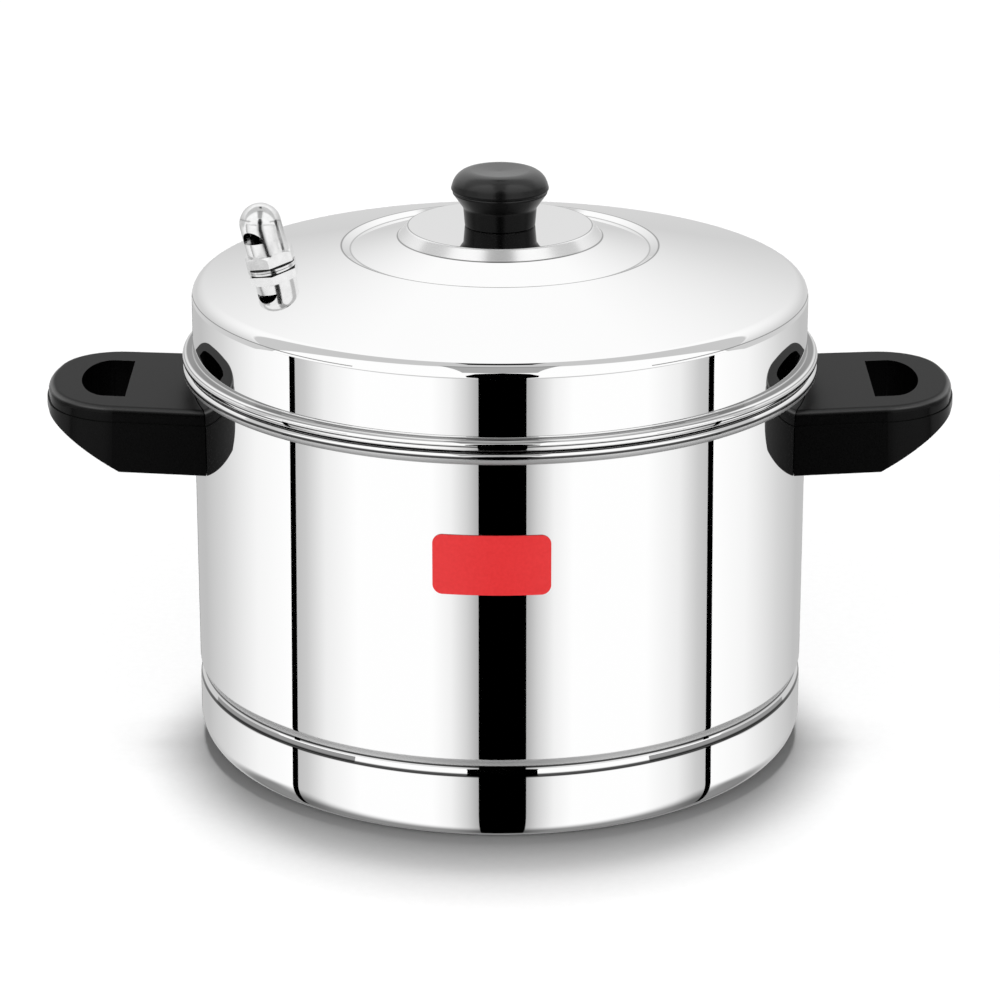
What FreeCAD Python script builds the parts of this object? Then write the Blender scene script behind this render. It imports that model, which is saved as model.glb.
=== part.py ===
import FreeCAD, Part
import math
import os

from FreeCAD import Vector

# An idli steamer: a steel pot with two moulded handles, a stepped lid with a knob and a
# steam whistle, and inside it a lift-out rack of four idli plates on one rod.
# Millimetres, +Z up, origin at the middle of the pot's underside, handles along X.

# Pot
pot_diameter = 230.0
pot_height = 150.0
pot_sheet = 0.7
base_bend = 12.0
rim_roll = 4.7
rim_roll_gap = 0.4
groove_height = 29.75
groove_width = 6.9
groove_depth = 1.75
groove_valley_lift = 0.45
groove_bend = 3.4

# Label on the front of the pot
label_width = 42.0
label_height = 22.3
label_corner = 3.5
label_middle = 107.3
label_offset = -2.9
label_thickness = 0.25
label_gap = 0.1

# Moulded side handles
handle_root_width = 79.4
handle_tip_width = 73.8
handle_reach = 55.1
handle_drop = 10.4
handle_tilt = 2.3
handle_depth = 24.6
handle_tip_depth = 7.8
handle_flat = 25.0
handle_bow = 8.0
handle_corner_share = 0.36
handle_bow_share = 0.82
handle_lip = 5.6
handle_lip_step = 0.5
handle_edge = 3.0
finger_start_share = 0.441
finger_rim = 12.8
finger_width = 45.0
finger_round_share = 0.58
handle_wall_gap = 0.2

# Welded boss, screw and washer that hold each handle
boss_diameter = 13.0
boss_length = 9.0
boss_gap = 0.3
boss_drop = 12.5
screw_diameter = 5.0
screw_clearance = 0.4
thread_gap = 0.05
screw_tip_gap = 1.5
screw_recess = 4.6
screw_recess_diameter = 11.5
screw_head_diameter = 9.0
screw_head_height = 3.0
screw_slot_width = 1.2
screw_slot_depth = 1.3
washer_diameter = 10.0
washer_thickness = 0.8

# Lid
lid_sheet = 0.7
lid_seat_gap = 0.3
lid_lip_depth = 8.0
lid_lip_gap = 0.8
lid_lip_bend = 1.0
lid_bead_height = 4.3
lid_bead_reach = 4.0
lid_bead_bend = 1.2
lid_shoulder_height = 29.5
lid_shoulder_bend = 6.0
lid_slope = 13.7
lid_inner_slope = 15.2
ring_share = 0.513
ring_bevel = 3.2
ring_drop = 1.45
ring_bend = 1.2
disc_share = 0.3322
disc_bevel = 3.5
disc_rise = 4.0
disc_bend = 1.5

# Lid knob with its threaded insert and screw
knob_base_radius = 13.1
knob_neck_radius = 13.7
knob_neck_height = 6.9
knob_radius = 18.3
knob_waist_height = 13.2
knob_height = 21.0
knob_crown_radius = 16.2
knob_crown_share = 0.97
knob_dish_radius = 10.6
knob_dish_depth = 0.7
knob_line = 0.5
knob_foot_bend = 0.6
insert_diameter = 8.0
insert_length = 11.0
knob_screw_length = 9.0

# Steam whistle on the lid
vent_edge = 30.0
vent_turn = 185.2
vent_height = 24.4
vent_cap_diameter = 15.6
vent_wall = 2.7
vent_hex = 17.2
vent_hex_height = 4.25
vent_hex_chamfer = 1.0
vent_flange_diameter = 18.4
vent_flange_thickness = 0.75
vent_gasket_diameter = 16.8
vent_gasket_thickness = 0.8
vent_stem_diameter = 10.0
vent_stem_length = 9.0
vent_spigot_length = 4.5
vent_bore = 4.0
vent_window_height = 11.1
vent_window_radius = 4.8
vent_window_turn = 234.0
vent_nut_hex = 15.0
vent_nut_height = 4.0
vent_washer_diameter = 18.0
vent_washer_gap = 0.25

# Lift-out rack
plate_count = 4
plate_steam_gap = 13.8
plate_sheet = 0.6
plate_margin = 4.0
plate_roll = 3.0
top_plate_rise = 6.8
well_web = 4.5
well_depth = 16.0
well_edge = 3.0
well_hole = 2.8
well_hole_ring = 13.0
well_hole_count = 6
rod_diameter = 8.0
rod_end = 3.0
rod_head_diameter = 16.0
rod_head_height = 4.0
running_gap = 0.3
spacer_diameter = 14.0
foot_height = 12.0
foot_radius = 52.0
foot_flange = 7.0
foot_skirt_run = 8.0
foot_bend = 3.0
foot_hole = 8.0
foot_hole_ring = 21.0
foot_hole_count = 6
nut_diameter = 16.0
nut_height = 9.0
wing_reach = 21.0
wing_height = 20.0
wing_thickness = 3.6
wing_corner = 4.5

# Sizes worked out from those above
pot_radius = pot_diameter / 2
pot_bore = pot_radius - pot_sheet
roll_inside = rim_roll / 2 - pot_sheet
slope_rise = math.tan(math.radians(lid_slope))
inner_rise = math.tan(math.radians(lid_inner_slope))
lid_seat = pot_height + lid_seat_gap
lid_shoulder = pot_height + lid_shoulder_height
lid_lip_radius = pot_bore - lid_lip_gap
ring_radius = pot_radius * ring_share
disc_radius = pot_radius * disc_share
ring_top = lid_shoulder + (pot_radius - ring_radius) * slope_rise
ring_foot = ring_radius - ring_bevel
disc_foot_height = ring_top - ring_drop + (ring_foot - disc_radius) * inner_rise
disc_height = disc_foot_height + disc_rise
vent_radius = pot_radius - vent_edge
vent_seat = vent_flange_thickness + vent_gasket_thickness
screw_hole = screw_diameter + 2 * screw_clearance
handle_top = pot_height - handle_drop
finger_start = handle_reach * finger_start_share
finger_end = handle_reach - finger_rim
finger_depth = finger_end - finger_start
screw_height = handle_top - boss_drop
screw_seat = pot_radius + finger_start - screw_recess
foot_top = pot_sheet + foot_height
top_plate = pot_height + top_plate_rise
plate_pitch = (top_plate - foot_top) / plate_count
plate_radius = pot_bore - plate_steam_gap
well_radius = (math.sqrt(2) * (plate_radius - plate_margin) - well_web) / (2 + math.sqrt(2))
well_circle = plate_radius - plate_margin - well_radius
rod_bore = rod_diameter + 2 * running_gap
up = Vector(0, 0, 1)
outward = Vector(1, 0, 0)
origin = Vector(0, 0, 0)


def upright(across, height):
    return Vector(across, 0, height)


def level(across, along):
    return Vector(across, along, 0)


# Straight runs through the given corners, each corner rounded to its bend radius
def bent_edges(corners, place):
    points = [place(corner[0], corner[1]) for corner in corners]
    edges = []
    start = points[0]
    for before, corner, after, size in zip(points, points[1:], points[2:], corners[1:]):
        bend = size[2]
        arriving = (corner - before).normalize()
        leaving = (after - corner).normalize()
        half_turn = arriving.getAngle(leaving) / 2
        run = bend * math.tan(half_turn)
        bend_start = corner - arriving * run
        bend_end = corner + leaving * run
        inward = (leaving - arriving).normalize()
        bend_middle = corner + inward * (bend / math.cos(half_turn) - bend)
        add_line(edges, start, bend_start)
        if bend > 0:
            edges.append(Part.Arc(bend_start, bend_middle, bend_end).toShape())
        start = bend_end
    add_line(edges, start, points[-1])
    return edges


def add_line(edges, start, end):
    if (end - start).Length > 1e-6:
        edges.append(Part.LineSegment(start, end).toShape())


def closed_face(edges):
    first = edges[0].Vertexes[0].Point
    last = edges[-1].Vertexes[-1].Point
    add_line(edges, last, first)
    return Part.Face(Part.Wire(edges))


def turned(face):
    solid = face.revolve(origin, up, 360)
    if solid.Volume < 0:
        solid.reverse()
    return solid


# Pressed sheet: one skin's edges, thickened to the side that a positive thickness means, and turned
def pressed(edges, thickness):
    skin = Part.Wire(edges)
    return turned(skin.makeOffset2D(thickness, 0, True, True, False).Faces[0])


def one_solid(shape):
    return shape.removeSplitter().Solids[0]


def cylinder(diameter, length, base=origin, axis=up):
    return Part.makeCylinder(diameter / 2, length, base, axis)


def ring(outside, inside, length, base=origin, axis=up):
    return cylinder(outside, length, base, axis).cut(cylinder(inside, length, base, axis))


def hexagon(across_flats, length, base):
    corner = across_flats / math.sqrt(3)
    points = [base + Vector(corner * math.cos(math.radians(60 * side)),
                            corner * math.sin(math.radians(60 * side)), 0) for side in range(7)]
    return Part.Face(Part.makePolygon(points)).extrude(up * length)


# Hexagonal bar with its corners turned off at a slant at the chosen end
def chamfered_hexagon(across_flats, length, base, chamfer, end):
    corner_radius = across_flats / math.sqrt(3)
    if end > 0:
        radii = (corner_radius + length - chamfer, corner_radius - chamfer)
    else:
        radii = (corner_radius - chamfer, corner_radius + length - chamfer)
    return hexagon(across_flats, length, base).common(
        Part.makeCone(radii[0], radii[1], length, base, up))


def around(count, radius, first=0.0):
    angles = [math.radians(first + 360 * step / count) for step in range(count)]
    return [Vector(radius * math.cos(angle), radius * math.sin(angle), 0) for angle in angles]


# Pot: one drawn shell with a rounded base, a pressed-in groove and a rim rolled outward
def pot_body():
    roll_across = pot_radius + 2 * roll_inside
    roll_top = pot_height - pot_sheet
    roll_bottom = roll_top - 2 * roll_inside
    corners = [
        (0, 0, 0),
        (pot_radius, 0, base_bend),
        (pot_radius, groove_height - groove_width / 2, groove_bend),
        (pot_radius - groove_depth, groove_height + groove_valley_lift, groove_bend),
        (pot_radius, groove_height + groove_width / 2, groove_bend),
        (pot_radius, roll_top, roll_inside),
        (roll_across, roll_top, roll_inside),
        (roll_across, roll_bottom, roll_inside),
        (pot_radius + rim_roll_gap, roll_bottom, 0),
    ]
    return pressed(bent_edges(corners, upright), pot_sheet)


# Label: a thin bowed plate with rounded corners, stuck on the front wall
def front_label():
    outside = pot_radius + label_gap
    shell = ring(2 * (outside + label_thickness), 2 * outside, label_height,
                 Vector(0, 0, label_middle - label_height / 2))
    half = label_width / 2
    low = -label_height / 2
    high = label_height / 2
    corners = [(0, low, 0), (half, low, label_corner), (half, high, label_corner),
               (-half, high, label_corner), (-half, low, label_corner), (0, low, 0)]
    block = closed_face(bent_edges(corners, upright)).extrude(Vector(0, -2 * pot_radius, 0))
    block.translate(Vector(label_offset, 0, label_middle))
    return one_solid(shell.common(block))


# Plan face with straight sides, round corners and a tip that bows out to the given reach
def bowed_face(start, reach, start_half, tip_half, corner, bow, bend):
    slope = math.atan(bow / tip_half)
    tip = reach + bend * (1 / math.cos(slope) - 1)
    corners = [(start, -start_half, 0), (tip - bow, -tip_half, corner), (tip, 0, bend),
               (tip - bow, tip_half, corner), (start, start_half, 0)]
    return closed_face(bent_edges(corners, level))


# Handle outline in plan, drawn in by an inset
def handle_outline(inset):
    return bowed_face(-pot_radius / 2, handle_reach - inset, handle_root_width / 2 - inset,
                      handle_tip_width / 2 - inset, handle_tip_width * handle_corner_share - inset,
                      handle_bow, handle_tip_width * handle_bow_share)


# Finger hole in plan: straight next to the pot, half an oval towards the tip
def finger_outline():
    half = finger_width / 2
    round_start = finger_end - finger_depth * finger_round_share
    edges = []
    add_line(edges, level(finger_start, half), level(round_start, half))
    oval = Part.Ellipse(level(round_start, half), level(finger_end, 0), level(round_start, 0))
    edges.append(Part.ArcOfEllipse(oval, 0, math.pi).toShape())
    add_line(edges, level(round_start, -half), level(finger_start, -half))
    return closed_face(edges)


# Handle: a solid moulding with a rounded top lip and an underside that sweeps up to the tip
def handle():
    lip = handle_outline(handle_lip_step).extrude(Vector(0, 0, -handle_lip))
    top_edges = [edge for edge in lip.Edges
                 if edge.BoundBox.ZMin > -handle_edge and edge.BoundBox.XMax > 0]
    lip = lip.makeFillet(handle_edge, top_edges)
    body = handle_outline(0).extrude(Vector(0, 0, handle_lip - handle_depth))
    body.translate(Vector(0, 0, -handle_lip))
    side = [upright(-pot_radius, handle_depth), upright(-pot_radius, -handle_depth),
            upright(handle_flat, -handle_depth), upright(handle_reach, -handle_tip_depth),
            upright(2 * handle_reach, -handle_tip_depth), upright(2 * handle_reach, handle_depth)]
    side.append(side[0])
    sweep = Part.Face(Part.makePolygon(side)).extrude(Vector(0, 2 * handle_root_width, 0))
    sweep.translate(Vector(0, -handle_root_width, 0))
    hole = finger_outline().extrude(Vector(0, 0, -3 * handle_depth))
    hole.translate(Vector(0, 0, handle_depth))
    moulding = lip.fuse(body.common(sweep)).cut(hole)
    moulding.rotate(origin, Vector(0, 1, 0), -handle_tilt)
    moulding.translate(Vector(pot_radius, 0, handle_top))
    wall = cylinder(pot_diameter + 2 * handle_wall_gap, 2 * pot_height)
    middle = Vector(0, 0, screw_height)
    pocket = cylinder(boss_diameter + 2 * boss_gap, pot_radius + boss_length + boss_gap, middle, outward)
    bore = cylinder(screw_hole, 2 * pot_radius, middle, outward)
    recess = cylinder(screw_recess_diameter, 2 * screw_recess, middle + outward * screw_seat, outward)
    return one_solid(moulding.cut(wall).cut(pocket.fuse([bore, recess])))


# Boss: a threaded steel stub welded square to the pot wall inside the handle's root
def handle_boss():
    middle = Vector(0, 0, screw_height)
    stub = cylinder(boss_diameter, pot_radius + boss_length, middle, outward)
    thread = cylinder(screw_diameter + 2 * thread_gap, 2 * pot_radius, middle, outward)
    return one_solid(stub.cut(cylinder(pot_diameter, 2 * pot_height)).cut(thread))


# Cheese-head screw, its head towards +X, with a straight slot
def slotted_screw(seat, length):
    shank = cylinder(screw_diameter, length, seat, outward * -1)
    head = cylinder(screw_head_diameter, screw_head_height, seat, outward)
    slot = Part.makeBox(2 * screw_slot_depth, screw_head_diameter, screw_slot_width)
    slot.translate(seat + Vector(screw_head_height - screw_slot_depth, -screw_head_diameter / 2,
                                 -screw_slot_width / 2))
    return one_solid(shank.fuse(head).cut(slot))


def handle_screw():
    seat = Vector(screw_seat + washer_thickness, 0, screw_height)
    return slotted_screw(seat, seat.x - pot_radius - screw_tip_gap)


def handle_washer():
    return ring(washer_diameter, screw_hole, washer_thickness, Vector(screw_seat, 0, screw_height), outward)


# Lid: one drawn shell with a locating lip, a pinched bead, a skirt, a cone, a recess and a raised disc
def lid_shell():
    bead_top = lid_seat + lid_bead_height
    bead_radius = pot_radius + lid_bead_reach
    nose = lid_bead_height / 2
    corners = [
        (lid_lip_radius, lid_seat - lid_lip_depth, 0),
        (lid_lip_radius, lid_seat, lid_lip_bend),
        (bead_radius, lid_seat, nose),
        (bead_radius, bead_top, nose),
        (pot_radius, bead_top, lid_bead_bend),
        (pot_radius, lid_shoulder, lid_shoulder_bend),
        (ring_radius, ring_top, ring_bend),
        (ring_foot, ring_top - ring_drop, ring_bend),
        (disc_radius, disc_foot_height, disc_bend),
        (disc_radius - disc_bevel, disc_height, disc_bend),
        (screw_hole / 2, disc_height, 0),
    ]
    shell = pressed(bent_edges(corners, upright), lid_sheet)
    stem_hole = cylinder(vent_stem_diameter + 2 * screw_clearance, 4 * vent_stem_length,
                         Vector(0, 0, -2 * vent_stem_length))
    return one_solid(shell.cut(on_cone(stem_hole)))


# Knob: a turned moulding with a necked base, a fine line round its waist and a dished top
def lid_knob():
    flare = knob_radius - knob_line
    crown_foot = knob_waist_height + knob_line
    flank = math.atan2(knob_height - crown_foot, knob_radius - knob_crown_radius)
    crown_bend = knob_crown_share * (knob_crown_radius - knob_dish_radius) / math.tan(flank / 2)
    corners = [
        (0, 0, 0),
        (knob_base_radius, 0, knob_foot_bend),
        (knob_neck_radius, knob_neck_height, knob_line),
        (flare, knob_waist_height - knob_line, knob_line),
        (flare - knob_line, knob_waist_height, 0),
        (knob_radius, crown_foot, knob_line),
        (knob_crown_radius, knob_height, crown_bend),
        (knob_dish_radius, knob_height, knob_line),
        (0, knob_height - knob_dish_depth, 0),
    ]
    body = turned(closed_face(bent_edges(corners, upright)))
    body = body.cut(cylinder(insert_diameter, insert_length))
    body.translate(Vector(0, 0, disc_height))
    return body


def knob_insert():
    return ring(insert_diameter, screw_diameter + 2 * thread_gap, insert_length, Vector(0, 0, disc_height))


def knob_washer():
    base = Vector(0, 0, disc_height - lid_sheet - washer_thickness)
    return ring(washer_diameter, screw_hole, washer_thickness, base)


def knob_screw():
    screw = slotted_screw(origin, lid_sheet + washer_thickness + knob_screw_length)
    screw.rotate(origin, Vector(0, 1, 0), 90)
    screw.translate(Vector(0, 0, disc_height - lid_sheet - washer_thickness))
    return screw


# Moves a piece from its own upright axis to the whistle's place, square to the lid's cone
def on_cone(shape):
    shape.rotate(origin, Vector(0, 1, 0), lid_slope)
    shape.translate(Vector(vent_radius, 0, lid_shoulder + (pot_radius - vent_radius) * slope_rise))
    shape.rotate(origin, up, vent_turn)
    return shape


# Whistle seat: a plated washer on the cone with a thin gasket on it
def vent_flange():
    return on_cone(ring(vent_flange_diameter, vent_stem_diameter + 2 * thread_gap, vent_flange_thickness))


def vent_gasket():
    base = Vector(0, 0, vent_flange_thickness)
    return on_cone(ring(vent_gasket_diameter, vent_stem_diameter + 2 * thread_gap, vent_gasket_thickness, base))


# Whistle base: a hexagon with a threaded stem down through the lid and a spigot up into the cap
def vent_base():
    seat = Vector(0, 0, vent_seat)
    hexagon_bar = chamfered_hexagon(vent_hex, vent_hex_height, seat, vent_hex_chamfer, 1)
    length = vent_stem_length + vent_seat + vent_hex_height + vent_spigot_length
    stem = cylinder(vent_stem_diameter, length, Vector(0, 0, -vent_stem_length))
    bore = cylinder(vent_bore, length, Vector(0, 0, -vent_stem_length))
    piece = one_solid(hexagon_bar.fuse(stem).cut(bore))
    piece.rotate(origin, up, 90 - vent_turn)
    return on_cone(piece)


# Whistle cap: a domed tube with a half-moon window through each side
def vent_cap():
    foot = vent_seat + vent_hex_height
    radius = vent_cap_diameter / 2
    hollow = radius - vent_wall + thread_gap
    corners = [(0, foot, 0), (radius, foot, 0), (radius, vent_height, radius), (0, vent_height, 0)]
    cap = turned(closed_face(bent_edges(corners, upright)))
    top = vent_height - vent_wall
    inside = [(0, foot, 0), (hollow, foot, 0), (hollow, top, hollow), (0, top, 0)]
    cap = cap.cut(turned(closed_face(bent_edges(inside, upright))))
    window = cylinder(2 * vent_window_radius, 2 * vent_cap_diameter,
                      Vector(-vent_cap_diameter, 0, vent_window_height), outward)
    above = Part.makeBox(4 * vent_cap_diameter, 4 * vent_cap_diameter, vent_height)
    above.translate(Vector(-2 * vent_cap_diameter, -2 * vent_cap_diameter, vent_window_height))
    window = window.common(above)
    window.rotate(origin, up, vent_window_turn - vent_turn)
    return on_cone(one_solid(cap.cut(window)))


def vent_washer():
    base = Vector(0, 0, -lid_sheet - vent_washer_gap - washer_thickness)
    return on_cone(ring(vent_washer_diameter, vent_stem_diameter + 2 * thread_gap, washer_thickness, base))


def vent_locknut():
    base = Vector(0, 0, -lid_sheet - vent_washer_gap - washer_thickness - vent_nut_height)
    nut = chamfered_hexagon(vent_nut_hex, vent_nut_height, base, vent_hex_chamfer, -1)
    thread = cylinder(vent_stem_diameter + 2 * thread_gap, vent_nut_height, base)
    return on_cone(one_solid(nut.cut(thread)))


# Rack foot: a pressed dish standing on the pot floor on its flange, with holes for the water
def rack_foot():
    flange_start = foot_radius - foot_flange
    flange_top = pot_sheet + plate_sheet
    corners = [
        (rod_bore / 2, foot_top, 0),
        (flange_start - foot_skirt_run, foot_top, foot_bend),
        (flange_start, flange_top, foot_bend),
        (foot_radius, flange_top, 0),
    ]
    foot = pressed(bent_edges(corners, upright), -plate_sheet)
    holes = [cylinder(foot_hole, 2 * foot_height, spot) for spot in around(foot_hole_count, foot_hole_ring)]
    return one_solid(foot.cut(holes))


# Rod: a long bolt, its head under the foot
def rack_rod():
    seat = foot_top - plate_sheet
    head = cylinder(rod_head_diameter, rod_head_height, Vector(0, 0, seat - rod_head_height))
    shank = cylinder(rod_diameter, top_plate + nut_height + rod_end - seat, Vector(0, 0, seat))
    return one_solid(head.fuse(shank))


def plate_spacer(number):
    base = foot_top + (number - 1) * plate_pitch
    return ring(spacer_diameter, rod_bore, plate_pitch - plate_sheet, Vector(0, 0, base))


# One dished well about its own middle, its upper skin a bowl that turns over into the flat plate
def well_dish():
    reach = (well_radius ** 2 + well_depth ** 2) / (2 * well_depth)
    bowl = reach - well_edge
    lean = math.asin(well_radius / reach)
    bottom = upright(0, -well_depth)
    bowl_middle = upright(bowl * math.sin(lean / 2), bowl * (1 - math.cos(lean / 2)) - well_depth)
    bowl_end = upright(bowl * math.sin(lean), bowl * (1 - math.cos(lean)) - well_depth)
    edge_middle = upright(well_radius - well_edge * math.sin(lean / 2), well_edge * (math.cos(lean / 2) - 1))
    edge_end = upright(well_radius, 0)
    edges = [Part.Arc(bottom, bowl_middle, bowl_end).toShape(),
             Part.Arc(bowl_end, edge_middle, edge_end).toShape()]
    return pressed(edges, -plate_sheet)


# Idli plate: one pressing with a rolled edge, four wells and steam holes in each well
def idli_plate(number):
    roll = plate_roll / 2
    corners = [
        (rod_bore / 2, 0, 0),
        (plate_radius, 0, roll),
        (plate_radius, -plate_roll, roll),
        (plate_radius - plate_roll, -plate_roll, 0),
    ]
    plate = pressed(bent_edges(corners, upright), -plate_sheet)
    spots = around(4, well_circle)
    dish = well_dish()
    dishes = [dish.translated(spot) for spot in spots]
    plate = plate.cut([cylinder(2 * well_radius, 2 * plate_sheet, spot - up * plate_sheet) for spot in spots])
    plate = one_solid(plate.fuse(dishes))
    drop = up * (2 * well_depth)
    pattern = [origin] + around(well_hole_count, well_hole_ring)
    plate = plate.cut([cylinder(well_hole, 2 * well_depth, spot + hole - drop)
                       for spot in spots for hole in pattern])
    plate.translate(Vector(0, 0, foot_top + number * plate_pitch))
    return plate.Solids[0]


# Lifting nut: a round hub with two upright wings to hold the rack by
def lifting_nut():
    inside = nut_diameter / 2 - wing_thickness
    lean = wing_reach - inside
    corners = [
        (inside, 0, 0),
        (inside + lean / 2, 0, wing_corner),
        (wing_reach, wing_height / 2, wing_corner),
        (wing_reach, wing_height, wing_corner),
        (inside + lean / 2, wing_height, wing_corner),
        (inside, nut_height, 0),
    ]
    wing = closed_face(bent_edges(corners, upright)).extrude(Vector(0, wing_thickness, 0))
    wing.translate(Vector(0, -wing_thickness / 2, 0))
    other = wing.copy()
    other.rotate(origin, up, 180)
    nut = cylinder(nut_diameter, nut_height).fuse([wing, other]).cut(cylinder(rod_bore, wing_height))
    nut.translate(Vector(0, 0, top_plate))
    return one_solid(nut)


def save(name, shape):
    shape.exportStep("parts/" + name + ".step")


os.makedirs("parts", exist_ok=True)

save("pot_body", pot_body())
save("front_label", front_label())
for side_name, half_turn in (("right", 0), ("left", 180)):
    for piece_name, maker in (("handle", handle), ("handle_boss", handle_boss),
                              ("handle_screw", handle_screw), ("handle_washer", handle_washer)):
        piece = maker()
        piece.rotate(origin, up, half_turn)
        save(side_name + "_" + piece_name, piece)

save("lid_shell", lid_shell())
save("lid_knob", lid_knob())
save("knob_insert", knob_insert())
save("knob_screw", knob_screw())
save("knob_washer", knob_washer())
save("vent_cap", vent_cap())
save("vent_base", vent_base())
save("vent_flange", vent_flange())
save("vent_gasket", vent_gasket())
save("vent_washer", vent_washer())
save("vent_locknut", vent_locknut())

save("rack_foot", rack_foot())
save("rack_rod", rack_rod())
for plate_number in range(1, plate_count + 1):
    save("plate_spacer_" + str(plate_number), plate_spacer(plate_number))
    save("idli_plate_" + str(plate_number), idli_plate(plate_number))
save("lifting_nut", lifting_nut())
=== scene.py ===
import cmath
import math

import bpy
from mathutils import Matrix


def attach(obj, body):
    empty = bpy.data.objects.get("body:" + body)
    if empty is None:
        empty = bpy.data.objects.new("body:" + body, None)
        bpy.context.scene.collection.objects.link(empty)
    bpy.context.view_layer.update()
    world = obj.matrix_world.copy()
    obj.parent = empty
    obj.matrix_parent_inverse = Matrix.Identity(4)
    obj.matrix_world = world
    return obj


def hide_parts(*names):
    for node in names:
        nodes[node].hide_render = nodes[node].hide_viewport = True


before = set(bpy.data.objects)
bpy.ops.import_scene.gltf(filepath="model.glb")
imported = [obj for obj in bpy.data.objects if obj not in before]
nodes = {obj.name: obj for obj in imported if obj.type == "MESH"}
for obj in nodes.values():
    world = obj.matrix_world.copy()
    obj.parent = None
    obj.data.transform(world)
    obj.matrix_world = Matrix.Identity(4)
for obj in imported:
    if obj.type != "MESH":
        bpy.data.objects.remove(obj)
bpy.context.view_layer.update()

# Pot: one shell drawn from 0.7 mm stainless steel sheet, with a groove rolled in near its base
# and its rim curled outward. It is buffed to a mirror outside and left satin inside.
millimetre = 0.001
pot_radius = 115.0
pot_height = 150.0
sheet = 0.7
base_bend = 12.0
groove_foot = 26.3
groove_valley = 30.2
groove_top = 33.2
groove_depth = 1.75
groove_bend = 3.4
rim_bend = 1.65
rim_end_gap = 0.4
bend_step = math.radians(5)
turns = 288


def bent_path(corners):
    """Points and headings through the corners, each given as radius, height and bend.

    Both are complex numbers, radius + height j, so a heading times j points to its left."""
    spots = [complex(corner[0], corner[1]) for corner in corners]
    path = []
    start = spots[0]
    for before, spot, after, corner in zip(spots, spots[1:], spots[2:], corners[1:]):
        heading = (spot - before) / abs(spot - before)
        leaving = (after - spot) / abs(after - spot)
        turn = cmath.phase(leaving / heading)
        bend_start = spot - heading * corner[2] * math.tan(abs(turn) / 2)
        centre = bend_start + heading * 1j * math.copysign(corner[2], turn)
        path.append((start, heading))
        steps = max(1, round(abs(turn) / bend_step))
        for step in range(steps + 1):
            swing = cmath.exp(1j * turn * step / steps)
            path.append((centre + (bend_start - centre) * swing, heading * swing))
        start = path[-1][0]
    path.append((start, leaving))
    path.append((spots[-1], leaving))
    return path


def sheet_outline(path, thickness):
    """The closed outline of a sheet whose right-hand skin is the path: (spot, facing, finish)."""
    first = path[0][1]
    last = path[-1][1]
    outline = [(spot, heading * -1j, 0) for spot, heading in path]
    outline.append((outline[-1][0], last, 0))
    outline.append((outline[-1][0] + last * 1j * thickness, last, 0))
    outline += [(spot + heading * 1j * thickness, heading * 1j, 1) for spot, heading in reversed(path)]
    outline.append((outline[-1][0], -first, 0))
    outline.append((outline[0][0], -first, 0))
    return outline


def turned(name, outline, materials):
    """An outline spun round the Z axis, shaded with the outline's own facings so that it mirrors cleanly."""
    angles = [2 * math.pi * step / turns for step in range(turns)]
    circle = [(math.cos(angle), math.sin(angle)) for angle in angles]
    half = math.pi / turns
    vertices = []
    rings = []
    for spot, facing, finish in outline:
        same = [ring for ring in (rings[:1] + rings[-1:]) if abs(ring[0] - spot) < 1e-6]
        if same:
            rings.append(same[-1])
            continue
        count = turns if spot.real > 1e-6 else 1
        rings.append((spot, len(vertices), count))
        reach = spot.real * millimetre
        height = spot.imag * millimetre
        vertices += [(reach * x, reach * y, height) for x, y in circle[:count]]
    faces = []
    normals = []
    finishes = []
    for here, there, low, high in zip(outline, outline[1:], rings, rings[1:]):
        if low[1] == high[1] or low[2] + high[2] == 2:
            continue
        for step in range(turns):
            after = (step + 1) % turns
            corners = [(here, low, step), (here, low, after), (there, high, after), (there, high, step)]
            if low[2] == 1:
                del corners[1]
            elif high[2] == 1:
                del corners[2]
            faces.append([ring[1] + place % ring[2] for entry, ring, place in corners])
            for (spot, facing, finish), ring, place in corners:
                x, y = circle[place]
                if ring[2] == 1:
                    x, y = math.cos(angles[step] + half), math.sin(angles[step] + half)
                normals.append((facing.real * x, facing.real * y, facing.imag))
            finishes.append(there[2])
    mesh = bpy.data.meshes.new(name)
    mesh.from_pydata(vertices, [], faces)
    for material in materials:
        mesh.materials.append(material)
    mesh.polygons.foreach_set("use_smooth", [True] * len(faces))
    mesh.polygons.foreach_set("material_index", finishes)
    mesh.normals_split_custom_set(normals)
    piece = bpy.data.objects.new(name, mesh)
    bpy.context.scene.collection.objects.link(piece)
    return piece


def linear(colour):
    """An sRGB hex colour as linear red, green, blue and a full alpha."""
    shares = [int(colour[place:place + 2], 16) / 255 for place in (0, 2, 4)]
    return [s / 12.92 if s <= 0.04045 else ((s + 0.055) / 1.055) ** 2.4 for s in shares] + [1.0]


def add_node(tree, kind, inputs=None, stops=(), **settings):
    """Adds one node, with its settings, its ramp stops, and its sockets' values or links."""
    node = tree.nodes.new(kind)
    for name, value in settings.items():
        setattr(node, name, value)
    for place, (position, colour) in enumerate(stops):
        if place > 1:
            node.color_ramp.elements.new(position)
        node.color_ramp.elements[place].position = position
        node.color_ramp.elements[place].color = colour
    for name, value in (inputs or {}).items():
        if isinstance(value, bpy.types.NodeSocket):
            tree.links.new(value, node.inputs[name])
        else:
            node.inputs[name].default_value = value
    return node


def new_material(name):
    material = bpy.data.materials.new(name)
    material.use_nodes = True
    material.node_tree.nodes.clear()
    return material, material.node_tree


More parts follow.
